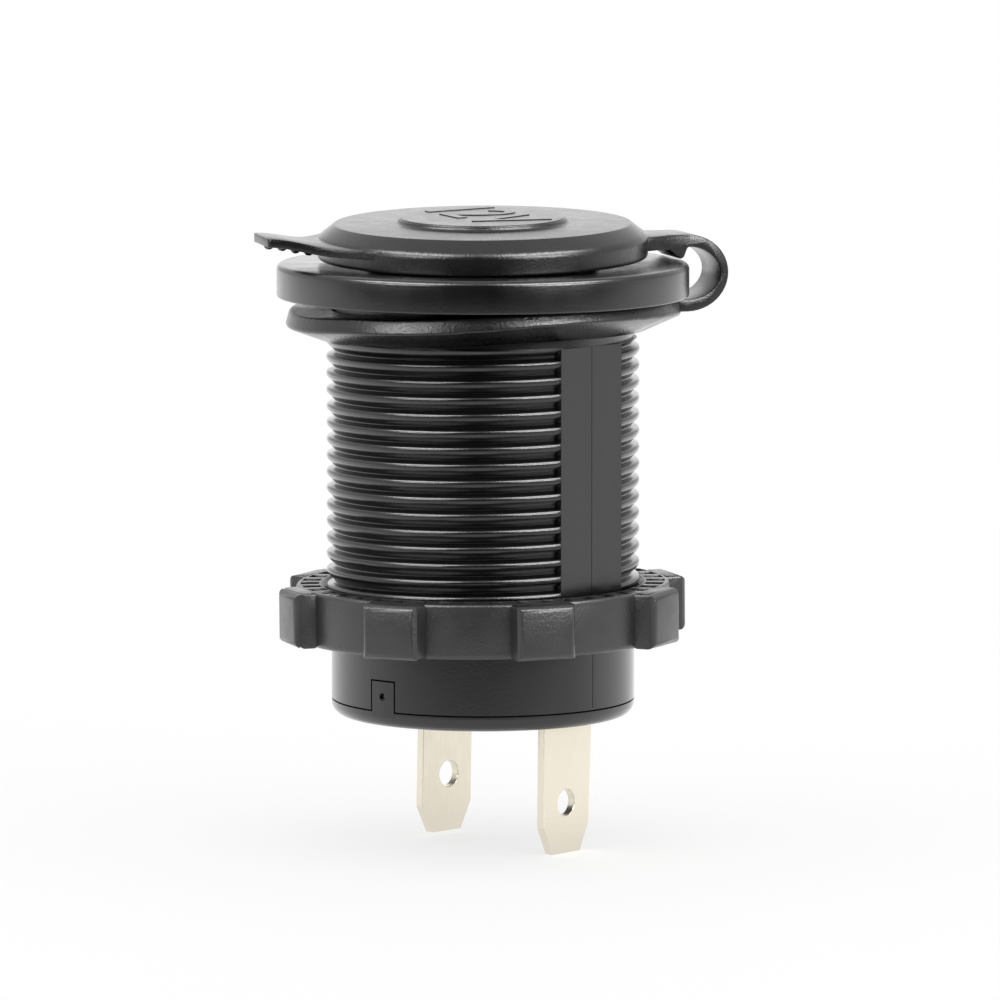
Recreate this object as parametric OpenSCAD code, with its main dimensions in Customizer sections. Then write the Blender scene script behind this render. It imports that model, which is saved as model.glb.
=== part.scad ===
// Panel-mount 12 V accessory socket with a rubber dust cap, a threaded barrel and a ring nut.
// Millimetres. +Z points out of the mouth. The origin is on the barrel's axis, in the plane of
// the flange's underside, and +X is square to one of the barrel's two flats.

/* [Flange] */
// How far the flange reaches beyond the thread
flange_out = 4.5; // [3.5:0.05:8]
// Height of the flange
flange_h = 3; // [2.4:0.1:5]
// Radius of the flange's upper edge
flange_edge_r = 0.5; // [0.2:0.05:0.9]
// How much wider the plastic mouth is than the sleeve's bore
mouth_step = 0.25; // [0.1:0.05:0.5]
// Radius of the rounded lead-in at the mouth
mouth_edge_r = 0.6; // [0.2:0.1:1]

/* [Barrel] */
// Wall between the sleeve and the thread's roots; 2.5 gives a 28.5 mm thread for a 29 mm hole
barrel_wall = 2.5; // [2.2:0.05:3.5]
// Distance from one crest to the next
thread_pitch = 1.5; // [1:0.25:2]
// Depth of the thread
thread_depth = 0.6; // [0.3:0.05:0.7]
// Width of the land on a crest
crest_land = 0.3; // [0.1:0.05:0.4]
// Length of the plain neck between the flange and the thread
neck_len = 4.4; // [4.2:0.1:6]
// Length of the smooth tail below the thread
tail_len = 5.75; // [5:0.05:8]
// Length of the barrel below the flange, down to the base cap
barrel_len = 36.75; // [36.6:0.05:45]
// How much narrower the smooth tail is than the thread's crests
tail_in = 0.45; // [0.3:0.05:0.8]
// How deep the two flats cut into the crests
flat_in = 0.55; // [0.2:0.05:0.6]

/* [Metal sleeve] */
// Radius that the plug enters
plug_r = 10.5; // [10.3:0.05:10.55]
// Thickness of the drawn sheet
sleeve_wall = 0.6; // [0.4:0.05:0.8]
// Depth of the sleeve's top edge below the flange's underside
sleeve_top = 2.4; // [1:0.1:4]
// Height of the cone that narrows the sleeve above its foot
step_h = 1; // [0.6:0.1:1.5]
// How much the foot is narrower than the bore
step_in = 0.9; // [0.5:0.1:1.2]
// Height of the narrow foot below the cone
foot_h = 2.75; // [1.5:0.05:3.5]
// Height of the sleeve's floor above the barrel's end
floor_up = 4.75; // [4.65:0.05:5.2]
// Width of each side contact
tongue_w = 4; // [3:0.1:6]
// Height of each side contact
tongue_h = 12; // [8:0.5:15]
// Height of the side contacts' feet above the cone
tongue_up = 6.25; // [3:0.25:8]
// Width of the slot punched round a side contact
slot_w = 0.8; // [0.5:0.1:1.2]

/* [Centre contact] */
// Radius of the brass contact
contact_r = 4.6; // [4:0.1:5]
// Height of the contact's rim
contact_rim_h = 0.9; // [0.6:0.1:1.1]
// Radius of the raised middle of the contact
contact_boss_r = 3.1; // [2.8:0.1:3.6]
// Height of the raised middle above the rim
contact_boss_h = 0.6; // [0.3:0.1:0.8]
// Radius of the insulating washer under the contact
washer_r = 5.5; // [5.2:0.1:5.6]
// Thickness of the insulating washer under the contact
washer_h = 1; // [0.8:0.1:1.2]
// Radius of the washer's collar through the sleeve's floor
collar_r = 3.9; // [3:0.1:4.4]
// Radius of the insulating disc under the sleeve
disc_r = 5.2; // [4.8:0.1:5.3]
// Thickness of the insulating disc under the sleeve
disc_h = 1.5; // [1.2:0.1:1.5]
// Radius of the centre rivet's shank
rivet_r = 1.6; // [1.2:0.1:1.8]
// Radius of the centre rivet's upper head
rivet_head_r = 2.5; // [2.2:0.1:2.6]
// Radius of the centre rivet's turned-over foot
rivet_foot_r = 2.9; // [2.4:0.1:3]
// Height of the turned-over foot
rivet_foot_h = 0.55; // [0.4:0.05:0.6]

/* [Terminals] */
// Width of a blade
blade_w = 6.3; // [4.8:0.1:6.5]
// Thickness of a blade
blade_t = 0.8; // [0.5:0.1:1]
// How far the negative blade's tip lies below the barrel's end
negative_len = 13.2; // [10:0.05:18]
// How far the positive blade's tip lies below the barrel's end
positive_len = 12.8; // [10:0.05:18]
// Inner radius of a terminal's bend
bend_r = 0.4; // [0.2:0.1:0.6]
// Height of the chamfers at a blade's tip
tip_h = 2.5; // [1:0.1:3]
// Width of the chamfers at a blade's tip
tip_in = 1.8; // [0.5:0.1:2]
// Radius of the hole in a blade
blade_hole_r = 1.2; // [0.8:0.1:1.6]
// Height of the hole above a blade's tip
blade_hole_up = 5; // [3.8:0.1:6]
// Distance of the negative blade's middle from the wall of the tail's hollow
negative_in = 1.5; // [1.3:0.1:2.2]
// Distance of the positive blade's middle from the axis
positive_x = 4.8; // [4:0.1:6]
// Distance of the negative terminal's rivet from the wall of the sleeve's foot
earth_rivet_in = 2; // [1.9:0.05:2.2]
// Radius of the negative terminal's rivet
earth_rivet_r = 1.2; // [0.8:0.1:1.4]
// Radius of that rivet's two heads
earth_head_r = 1.8; // [1.6:0.1:1.9]
// Height of that rivet's two heads
earth_head_h = 0.5; // [0.3:0.1:0.7]

/* [Base cap] */
// Thickness of the base cap's plate
base_h = 1.45; // [1.3:0.05:3]
// Radius of the base cap's lower edge
base_edge_r = 1.2; // [0.4:0.1:1.2]
// Height of the spigot that enters the barrel
spigot_h = 1; // [0.6:0.1:1.2]
// Wall of the barrel's tail round its hollow
tail_wall = 1.8; // [1.4:0.05:2.1]
// Width of each snap tongue
snap_w = 2.6; // [2:0.1:5]
// Height of each snap tongue
snap_h = 2.75; // [2:0.05:4]
// Angle of the first snap tongue, from the first flat
snap_angle = -86.5; // [-100:0.5:-80]
// Radius of the dimple in a snap tongue
dimple_r = 0.35; // [0.2:0.05:0.6]

/* [Ring nut] */
// Height of the nut
nut_h = 4.8; // [4:0.1:8]
// Height of the nut's top face above the barrel's end
nut_up = 10.35; // [9:0.05:14]
// Wall of the nut between its lobes, beyond the thread's crests
nut_wall = 2.75; // [2.35:0.05:4]
// How far the nut's lobes stand out
lobe_out = 2; // [1.2:0.1:3]
// Number of lobes
lobe_count = 8; // [6:1:10]
// Width of a lobe across its outer face
lobe_w = 5.5; // [4:0.1:7]
// How much wider a lobe is at its foot
lobe_flare = 0.6; // [0.2:0.1:1]
// Radius of a lobe's upright corners
lobe_corner_r = 0.7; // [0.3:0.1:1]
// Angle of the first lobe, from the first flat
lobe_angle = 17.6; // [0:0.1:45]
// Radius of the nut's lower edges
nut_edge_r = 1.2; // [0.5:0.1:1.4]
// Radius of the nut's upper edges
nut_top_edge_r = 0.4; // [0.2:0.1:0.6]
// Number of ribs on the nut's top face
rib_count = 40; // [24:1:48]
// Height of the ribs
rib_h = 0.35; // [0.2:0.05:0.6]
// Width of a rib
rib_w = 1; // [0.6:0.1:1.1]

/* [Dust cap] */
// How much narrower the cap is than the flange
cap_in = 3.75; // [3:0.05:5]
// Height of the cap's upright rim
rim_h = 1.95; // [1.5:0.05:3]
// Height of the bevel above the rim
bevel_h = 1.25; // [0.6:0.05:2]
// Width of the bevel above the rim
bevel_in = 1.45; // [0.5:0.05:2]
// Radius of the raised disc on the cap
disc_top_r = 8; // [6:0.1:10]
// Height of the raised disc
disc_top_h = 0.5; // [0.2:0.1:1]
// Gap between the plug's root and the mouth
plug_gap = 0.25; // [0.1:0.05:0.5]
// How much narrower the plug is at its end
plug_taper = 0.3; // [0.1:0.05:0.6]
// Wall of the plug
plug_wall = 1.5; // [1:0.1:2.5]
// Length of the plug
plug_len = 3.6; // [2:0.1:4.4]
// Thickness of the cap's top over the plug
cap_top_t = 2.9; // [1.2:0.1:3.2]
// Tilt of the cap, which is pressed home at the front only
cap_tilt = 1.85; // [0:0.05:1.9]
// Direction of the cap's high side, from the first flat
cap_high_angle = 126.5; // [90:0.5:150]

/* [Pull tab] */
// Width of the pull tab
tab_w = 4.8; // [4:0.1:9]
// How far the pull tab stands out from the cap's edge
tab_len = 5.9; // [4.5:0.1:9]
// Thickness of the pull tab
tab_t = 0.8; // [0.6:0.1:1.2]
// How far the pull tab's end is turned up
tab_rise = 0.85; // [0:0.05:1.5]
// Radius of the blends where the pull tab meets the cap
tab_blend_r = 12; // [2:0.5:14]
// Radius of the pull tab's corners
tab_corner_r = 0.9; // [0.3:0.1:2]
// Radius of the grip studs under the pull tab
stud_r = 0.5; // [0.3:0.02:0.6]
// Distance between grip studs
stud_pitch = 1.25; // [1.1:0.05:1.4]
// Number of grip studs
stud_count = 4; // [2:1:5]
// How far a grip stud stands below the pull tab
stud_h = 0.8; // [0.5:0.05:0.9]

/* [Strap and ring] */
// Direction of the strap, from the first flat
strap_angle = 61.5; // [0:0.5:90]
// Width of the strap
strap_w = 5.6; // [4:0.1:8]
// Thickness of the strap's arms where they meet the cap
arm_t = 1.3; // [0.8:0.05:1.4]
// Thickness of the strap at the outside of its bend
fold_t = 0.5; // [0.4:0.05:0.9]
// Height of the strap's top face above the flange's underside
strap_top = 5.3; // [5.1:0.1:6]
// How far the strap's bend stands out from the flange's edge
strap_out = 3.65; // [3:0.05:6]
// How much narrower the retaining ring is than the flange
ring_in = 0.8; // [0.7:0.05:2]
// Height of the retaining ring's edge
ring_edge_h = 1.2; // [0.8:0.1:1.4]
// Height of the retaining ring at its hole
ring_h = 3.05; // [2:0.05:3.1]
// Tilt of the retaining ring, which hangs loose on the neck
ring_tilt = 1.65; // [0:0.05:1.7]
// Direction of the ring's high side, from the first flat
ring_high_angle = 26.5; // [0:0.5:90]
// Depth of the ring's middle below the flange
ring_drop = 0.6; // [0.55:0.05:0.7]

/* [Clearances] */
// Gap where a pressed or seated piece meets its seat
seat_gap = 0.05; // [0.02:0.01:0.1]
// Gap where a piece slides or turns
run_gap = 0.1; // [0.05:0.01:0.2]
// Gap round the ring on the neck, and round the snap tongues
loose_gap = 0.15; // [0.1:0.01:0.2]

/* [Hidden] */
$fn = 96;

// Small overlap that makes cuts run past a face
past = 0.5;
// Number of steps in a small rounded edge
edge_steps = 6;

sleeve_r = plug_r + sleeve_wall;
sleeve_bore_r = sleeve_r + seat_gap;
mouth_r = plug_r + mouth_step;
root_r = sleeve_bore_r + barrel_wall;
thread_r = root_r + thread_depth;
tail_r = thread_r - tail_in;
cavity_r = tail_r - tail_wall;
flat_x = thread_r - flat_in;
flange_r = thread_r + flange_out;
nut_r = thread_r + nut_wall;
lobe_r = nut_r + lobe_out;
thread_len = barrel_len - neck_len - tail_len;
flank_h = (thread_pitch - 2 * crest_land) / 2;
turns = floor(thread_len / thread_pitch);
foot_r = plug_r - step_in;
floor_z = barrel_len - floor_up;
step_z = floor_z - foot_h - step_h;
tongue_top = step_z - tongue_up - tongue_h;
floor_under = floor_z + sleeve_wall;
cavity_top = floor_z + sleeve_wall / 2;
washer_top = floor_z - washer_h;
disc_top = floor_under + seat_gap;
positive_top = disc_top + disc_h;
contact_top = washer_top - contact_rim_h - contact_boss_h;
shank_hole_r = rivet_r + seat_gap;
rivet_foot_top = positive_top + blade_t;
negative_top = floor_under + seat_gap;
negative_reach = disc_r + 2 * run_gap;
negative_x = cavity_r - negative_in;
earth_rivet_x = foot_r - earth_rivet_in;
spigot_r = cavity_r - run_gap;
negative_z = barrel_len + negative_len;
positive_z = barrel_len + positive_len;
nut_z = barrel_len - nut_up;
nut_hole_r = thread_r + run_gap / 2;
rib_in_r = nut_hole_r + 0.6;
rib_out_r = nut_r - 0.4;
cap_r = flange_r - cap_in;
tab_r = cap_r + tab_len;
ring_r = flange_r - ring_in;
plug_root_r = mouth_r - plug_gap;
plug_end_r = plug_root_r - plug_taper;
cap_seat = flange_h + run_gap;
rim_top = cap_seat + rim_h;
cap_face = rim_top + bevel_h;
cap_lift = cap_r * sin(cap_tilt) - run_gap / 2;
ring_hole_r = root_r + loose_gap;
strap_r = flange_r + strap_out;
fold_x = flange_r - seat_gap;
fold_z = (strap_top - 1.75) / 2;

// Points on an arc, from one angle to another
function arc(cx, cy, rx, ry, from, to, steps) =
    [for (i = [0:steps])
        let (a = from + (to - from) * i / steps)
        [cx + rx * cos(a), cy + ry * sin(a)]];

// One annular ridge of the thread, drawn downwards
function ridge(z) = [
    [root_r, z],
    [thread_r, z - flank_h],
    [thread_r, z - flank_h - crest_land],
    [root_r, z - 2 * flank_h - crest_land]
];

// Outer side of the housing's section, from the mouth to the tail's end
function housing_outside() = concat(
    arc(flange_r - flange_edge_r, flange_h - flange_edge_r, flange_edge_r, flange_edge_r,
        90, 0, edge_steps),
    [[flange_r, 0.2], [flange_r - 0.2, 0], [root_r, 0]],
    [for (i = [0:turns - 1]) each ridge(-neck_len - i * thread_pitch)],
    [[root_r, -neck_len - thread_len], [tail_r, -neck_len - thread_len],
     [tail_r, -barrel_len]]
);

// Inner side of the housing's section, from the tail's end back to the mouth
function housing_inside() = concat(
    [[cavity_r, -barrel_len], [cavity_r, -cavity_top], [sleeve_bore_r, -cavity_top],
     [sleeve_bore_r, -sleeve_top], [mouth_r, -sleeve_top]],
    arc(mouth_r + mouth_edge_r, flange_h - mouth_edge_r, mouth_edge_r, mouth_edge_r,
        180, 90, edge_steps)
);

// Flange, threaded barrel and tail, moulded in one piece
module housing() {
    flat_half_w = sqrt(pow(thread_r, 2) - pow(flat_x, 2)) - 0.02;
    color("#1c1d1e")
    difference() {
        union() {
            rotate_extrude() polygon(concat(housing_outside(), housing_inside()));
            for (side = [0, 180]) rotate([0, 0, side])
                translate([root_r - 1, -flat_half_w, -neck_len - thread_len])
                    cube([flat_x - root_r + 1, 2 * flat_half_w, thread_len]);
        }
        for (side = [0, 180]) rotate([0, 0, side])
            translate([flat_x, -thread_r / 2, -neck_len - thread_len])
                cube([thread_r, thread_r, thread_len]);
        for (side = [0, 180]) rotate([0, 0, snap_angle + side])
            translate([cavity_r - past, -snap_w / 2 - loose_gap, -barrel_len - past])
                cube([tail_r, snap_w + 2 * loose_gap, snap_h + past + loose_gap]);
    }
}

// Slots that free one side contact on three sides
module contact_slots() {
    slot_d = 2 * sleeve_wall + 2 * past;
    for (side = [-1, 1])
        translate([plug_r - past, side * (tongue_w + slot_w) / 2 - slot_w / 2,
                   -tongue_top - tongue_h])
            cube([slot_d, slot_w, tongue_h]);
    translate([plug_r - past, -tongue_w / 2 - slot_w, -tongue_top])
        cube([slot_d, tongue_w + 2 * slot_w, slot_w]);
}

// Deep-drawn metal sleeve with two side contacts, the negative side of the socket
module sleeve() {
    color("#b9b6ad")
    difference() {
        rotate_extrude() polygon([
            [plug_r + 0.2, -sleeve_top - seat_gap],
            [sleeve_r, -sleeve_top - seat_gap],
            [sleeve_r, -step_z],
            [foot_r + sleeve_wall, -step_z - step_h],
            [foot_r + sleeve_wall, -floor_under],
            [collar_r + seat_gap, -floor_under],
            [collar_r + seat_gap, -floor_z],
            [foot_r, -floor_z],
            [foot_r, -step_z - step_h],
            [plug_r, -step_z],
            [plug_r, -sleeve_top - seat_gap - 0.2]
        ]);
        for (side = [90, 270]) rotate([0, 0, side]) contact_slots();
        translate([earth_rivet_x, 0, -floor_under - past])
            cylinder(h = sleeve_wall + 2 * past, r = earth_rivet_r + seat_gap, $fn = 48);
    }
}

// Insulating washer inside the sleeve, with a collar through its floor
module upper_washer() {
    color("#d9cfb4")
    rotate_extrude() polygon([
        [shank_hole_r, -washer_top],
        [washer_r, -washer_top],
        [washer_r, -floor_z],
        [collar_r, -floor_z],
        [collar_r, -floor_under],
        [shank_hole_r, -floor_under]
    ]);
}

// Turned brass contact for the plug's tip
module centre_contact() {
    rim_z = -washer_top + contact_rim_h;
    top_z = rim_z + contact_boss_h;
    color("#c3a15a")
    rotate_extrude() polygon([
        [shank_hole_r, -washer_top],
        [contact_r, -washer_top],
        [contact_r, rim_z - 0.2],
        [contact_r - 0.2, rim_z],
        [contact_boss_r + 0.3, rim_z],
        [contact_boss_r, top_z],
        [rivet_head_r + seat_gap, top_z],
        [shank_hole_r, top_z - (rivet_head_r - rivet_r)]
    ]);
}

// Countersunk rivet that clamps contact, washers and positive terminal
module centre_rivet() {
    top_z = -contact_top - seat_gap;
    color("#cfcac0")
    rotate_extrude() polygon([
        [0, top_z],
        [rivet_head_r, top_z],
        [rivet_r, top_z - (rivet_head_r - rivet_r)],
        [rivet_r, -rivet_foot_top],
        [rivet_foot_r, -rivet_foot_top],
        [rivet_foot_r - 0.2, -rivet_foot_top - rivet_foot_h],
        [0, -rivet_foot_top - rivet_foot_h]
    ]);
}

// Insulating disc between the sleeve's floor and the positive terminal
module lower_disc() {
    color("#d9cfb4")
    translate([0, 0, -disc_top - disc_h])
        difference() {
            cylinder(h = disc_h, r = disc_r);
            translate([0, 0, -past])
                cylinder(h = disc_h + 2 * past, r = shank_hole_r, $fn = 48);
        }
}

// Side view of a strip that runs outwards and turns down into a blade
function terminal_side(reach, blade_x, top, tip_z) =
    let (out = blade_x + blade_t / 2, r = bend_r + blade_t)
    concat(
        [[reach, -top]],
        arc(out - r, -top - r, r, r, 90, 0, edge_steps),
        [[out, -tip_z], [out - blade_t, -tip_z]],
        arc(out - r, -top - r, bend_r, bend_r, 0, 90, edge_steps),
        [[reach, -top - blade_t]]
    );

// Strip of sheet metal with a foot, a bend and a 6.3 mm blade
module terminal(reach, blade_x, top, tip_z) {
    half_w = blade_w / 2;
    difference() {
        intersection() {
            rotate([90, 0, 0])
                linear_extrude(height = blade_w, center = true)
                    polygon(terminal_side(reach, blade_x, top, tip_z));
            translate([reach - past, 0, 0])
                rotate([90, 0, 90])
                    linear_extrude(height = blade_x + blade_t - reach + 2 * past)
                        polygon([
                            [-half_w, -top + past], [half_w, -top + past],
                            [half_w, -tip_z + tip_h], [half_w - tip_in, -tip_z],
                            [tip_in - half_w, -tip_z], [-half_w, -tip_z + tip_h]
                        ]);
        }
        translate([blade_x, 0, -tip_z + blade_hole_up])
            rotate([0, 90, 0])
                cylinder(h = 4 * blade_t, r = blade_hole_r, center = true, $fn = 48);
    }
}

// Positive terminal, held under the lower disc by the centre rivet
module positive_terminal() {
    color("#cdc4ad")
    difference() {
        rotate([0, 0, 180]) terminal(-blade_w / 2, positive_x, positive_top, positive_z);
        translate([0, 0, -positive_top - blade_t - past])
            cylinder(h = blade_t + 2 * past, r = shank_hole_r, $fn = 48);
    }
}

// Negative terminal, riveted under the sleeve's floor
module negative_terminal() {
    color("#cdc4ad")
    difference() {
        terminal(negative_reach, negative_x, negative_top, negative_z);
        translate([earth_rivet_x, 0, -negative_top - blade_t - past])
            cylinder(h = blade_t + 2 * past, r = earth_rivet_r + seat_gap, $fn = 48);
    }
}

// Rivet that joins the negative terminal to the sleeve
module earth_rivet() {
    foot_z = -negative_top - blade_t;
    color("#cfcac0")
    translate([earth_rivet_x, 0, 0])
        rotate_extrude($fn = 48) polygon([
            [0, -floor_z + earth_head_h],
            [earth_head_r - 0.3, -floor_z + earth_head_h],
            [earth_head_r, -floor_z],
            [earth_rivet_r, -floor_z],
            [earth_rivet_r, foot_z],
            [earth_head_r, foot_z],
            [earth_head_r - 0.3, foot_z - earth_head_h],
            [0, foot_z - earth_head_h]
        ]);
}

// Slot in the base cap for one blade
module blade_slot(x) {
    translate([x - blade_t / 2 - run_gap, -blade_w / 2 - run_gap, -barrel_len - base_h - past])
        cube([blade_t + 2 * run_gap, blade_w + 2 * run_gap, base_h + spigot_h + 2 * past]);
}

// Base cap with a spigot, two snap tongues and the blades' slots
module base_cap() {
    bottom = -barrel_len - base_h;
    color("#1a1b1c")
    difference() {
        union() {
            rotate_extrude() polygon(concat(
                [[0, -barrel_len + spigot_h], [spigot_r, -barrel_len + spigot_h],
                 [spigot_r, -barrel_len - seat_gap], [tail_r, -barrel_len - seat_gap]],
                arc(tail_r - base_edge_r, bottom + base_edge_r, base_edge_r, base_edge_r,
                    0, -90, edge_steps),
                [[0, bottom]]
            ));
            for (side = [0, 180]) rotate([0, 0, snap_angle + side])
                intersection() {
                    translate([spigot_r - past, -snap_w / 2, -barrel_len - past])
                        cube([tail_r, snap_w, snap_h + past]);
                    difference() {
                        translate([0, 0, -barrel_len - past])
                            cylinder(h = snap_h + 2 * past, r = tail_r);
                        translate([0, 0, -barrel_len - 2 * past])
                            cylinder(h = snap_h + 4 * past, r = spigot_r - 0.2);
                    }
                }
        }
        blade_slot(negative_x);
        blade_slot(-positive_x);
        for (side = [0, 180]) rotate([0, 0, snap_angle + side])
            translate([tail_r - 0.3, 0, -barrel_len + snap_h / 2])
                rotate([0, 90, 0]) cylinder(h = past, r = dimple_r, $fn = 24);
    }
}

// Section of the nut, out to a given radius, with rounded edges
function nut_section(out_r) = concat(
    [[nut_hole_r, -nut_z - 0.5], [nut_hole_r + 0.5, -nut_z]],
    arc(out_r - nut_top_edge_r, -nut_z - nut_top_edge_r, nut_top_edge_r, nut_top_edge_r,
        90, 0, edge_steps),
    arc(out_r - nut_edge_r, -nut_z - nut_h + nut_edge_r, nut_edge_r, nut_edge_r,
        0, -90, edge_steps),
    [[nut_hole_r + 0.5, -nut_z - nut_h], [nut_hole_r, -nut_z - nut_h + 0.5]]
);

// Outline of the lobes, seen along the axis
module lobes_outline() {
    top_x = lobe_r + past;
    foot_x = nut_r - 2;
    foot_w = lobe_w + lobe_flare + 1;
    for (i = [0:lobe_count - 1]) rotate(lobe_angle + i * 360 / lobe_count)
        intersection() {
            polygon([
                [foot_x, -foot_w / 2], [nut_r, -(lobe_w + lobe_flare) / 2],
                [top_x, -lobe_w / 2], [top_x, lobe_w / 2],
                [nut_r, (lobe_w + lobe_flare) / 2], [foot_x, foot_w / 2]
            ]);
            circle(r = lobe_r);
        }
}

// Ring nut with eight grip lobes and ribs on its upper face
module ring_nut() {
    color("#191a1b")
    difference() {
        union() {
            rotate_extrude() polygon(nut_section(nut_r));
            intersection() {
                rotate_extrude() polygon(nut_section(lobe_r));
                translate([0, 0, -nut_z - nut_h])
                    linear_extrude(height = nut_h)
                        offset(r = lobe_corner_r, $fn = 20)
                            offset(delta = -lobe_corner_r) lobes_outline();
            }
        }
        difference() {
            translate([0, 0, -nut_z - rib_h]) cylinder(h = rib_h + past, r = rib_out_r);
            translate([0, 0, -nut_z - rib_h - past])
                cylinder(h = rib_h + 3 * past, r = rib_in_r);
            for (i = [0:rib_count - 1]) rotate([0, 0, (i + 0.5) * 360 / rib_count])
                translate([nut_hole_r - past, -rib_w / 2, -nut_z - rib_h - past])
                    cube([nut_r - nut_hole_r + past, rib_w, rib_h + 3 * past]);
        }
    }
}

// Plan of the pull tab, blended into the cap's edge
module tab_outline() {
    intersection() {
        translate([cap_r / 2, -cap_r]) square([tab_r, 2 * cap_r]);
        offset(r = -tab_blend_r) offset(delta = tab_blend_r) union() {
            circle(r = cap_r - 0.1, $fn = 128);
            hull() {
                translate([cap_r / 2, -tab_w / 2]) square([1, tab_w]);
                for (side = [-1, 1])
                    translate([tab_r - tab_corner_r, side * (tab_w / 2 - tab_corner_r)])
                        circle(r = tab_corner_r, $fn = 32);
            }
        }
    }
}

// Height of the pull tab's top face at a distance from the axis
function tab_z(x) =
    let (t = max(0, (x - cap_r) / (tab_r - cap_r)))
    rim_top - 0.05 + tab_rise * (3 * pow(t, 2) - 2 * pow(t, 3));

// Side view of the pull tab
function tab_side() =
    let (n = 8, x0 = cap_r / 2, step = (tab_r + past - cap_r) / n)
    concat(
        [[x0, tab_z(x0)]],
        [for (i = [0:n]) [cap_r + i * step, tab_z(cap_r + i * step)]],
        [for (i = [n:-1:0]) [cap_r + i * step, tab_z(cap_r + i * step) - tab_t]],
        [[x0, tab_z(x0) - tab_t]]
    );

// Rubber cap with its hollow plug, pull tab and grip studs, lying flat
module level_cap() {
    plug_end = cap_seat - plug_len;
    rotate_extrude() polygon([
        [0, cap_face + disc_top_h],
        [disc_top_r, cap_face + disc_top_h],
        [disc_top_r + 0.5, cap_face],
        [cap_r - bevel_in, cap_face],
        [cap_r - 0.15, rim_top + 0.1],
        [cap_r, rim_top - 0.1],
        [cap_r, cap_seat + 0.3],
        [cap_r - 0.3, cap_seat],
        [plug_root_r, cap_seat],
        [plug_end_r, plug_end + 0.4],
        [plug_end_r - 0.4, plug_end],
        [plug_end_r - plug_wall, plug_end],
        [plug_end_r - plug_wall, cap_face - cap_top_t],
        [0, cap_face - cap_top_t]
    ]);
    rotate([0, 0, strap_angle + 180]) {
        intersection() {
            translate([0, 0, cap_seat])
                linear_extrude(height = cap_face) tab_outline();
            rotate([90, 0, 0])
                linear_extrude(height = 2 * cap_r, center = true) polygon(tab_side());
            difference() {
                cylinder(h = 2 * cap_face, r = tab_r + past);
                translate([0, 0, -past])
                    cylinder(h = 2 * (cap_face + past), r = plug_root_r + past);
            }
        }
        for (i = [0:stud_count - 1])
            let (x = tab_r - stud_r - 0.25 - i * stud_pitch)
            translate([x, 0, tab_z(x) - tab_t - stud_h + stud_r])
                sphere(r = stud_r, $fn = 24);
    }
}

// The cap as it sits in the mouth, a little high at the back
module dust_cap() {
    color("#202122")
    translate([0, 0, cap_lift])
    rotate([0, 0, cap_high_angle])
    rotate([0, -cap_tilt, 0])
    rotate([0, 0, -cap_high_angle])
        union() level_cap();
}

// Side view of the strap: arm on the cap, bend, arm on the ring
function strap_side() =
    let (
        n = 12,
        start = cap_r + seat_gap,
        end = ring_r + seat_gap,
        rz = strap_top - fold_z,
        in_rz = rz - arm_t,
        in_rx = strap_r - fold_x - fold_t
    )
    concat(
        [[start, strap_top]],
        arc(fold_x, fold_z, strap_r - fold_x, rz, 90, -90, 2 * n),
        [[end, fold_z - rz + 0.1], [end, fold_z - in_rz]],
        arc(fold_x, fold_z, in_rx, in_rz, -90, 90, 2 * n),
        [[start, strap_top - arm_t]]
    );

// Rubber strap that joins the cap to the ring and bends as a hinge
module strap() {
    color("#202122")
    rotate([0, 0, strap_angle])
    difference() {
        union() {
            rotate([90, 0, 0])
                linear_extrude(height = strap_w, center = true) polygon(strap_side());
            rotate([90, 0, 0])
                linear_extrude(height = strap_w, center = true)
                    polygon([
                        [cap_r + 1, strap_top - arm_t / 2],
                        [flange_r - 0.9, strap_top - arm_t / 2],
                        [flange_r - 0.5, cap_seat + run_gap],
                        [flange_r - 1.1, cap_seat + run_gap]
                    ]);
        }
        translate([0, 0, cap_seat]) cylinder(h = strap_top, r = cap_r + seat_gap);
    }
}

// Loose rubber ring under the flange, clamped by the panel in use
module retaining_ring() {
    color("#232425")
    translate([0, 0, -ring_drop])
    rotate([0, 0, ring_high_angle])
    rotate([0, -ring_tilt, 0])
        rotate_extrude() polygon([
            [ring_hole_r, 0],
            [ring_r - 0.15, 0],
            [ring_r, -0.15],
            [ring_r, -ring_edge_h + 0.15],
            [ring_r - 0.2, -ring_edge_h - 0.05],
            [ring_hole_r + 0.4, -ring_h + 0.1],
            [ring_hole_r, -ring_h]
        ]);
}

housing();
sleeve();
upper_washer();
centre_contact();
centre_rivet();
lower_disc();
positive_terminal();
negative_terminal();
earth_rivet();
base_cap();
ring_nut();
dust_cap();
strap();
retaining_ring();
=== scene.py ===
import math

import bpy
from mathutils import Matrix, Vector


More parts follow.
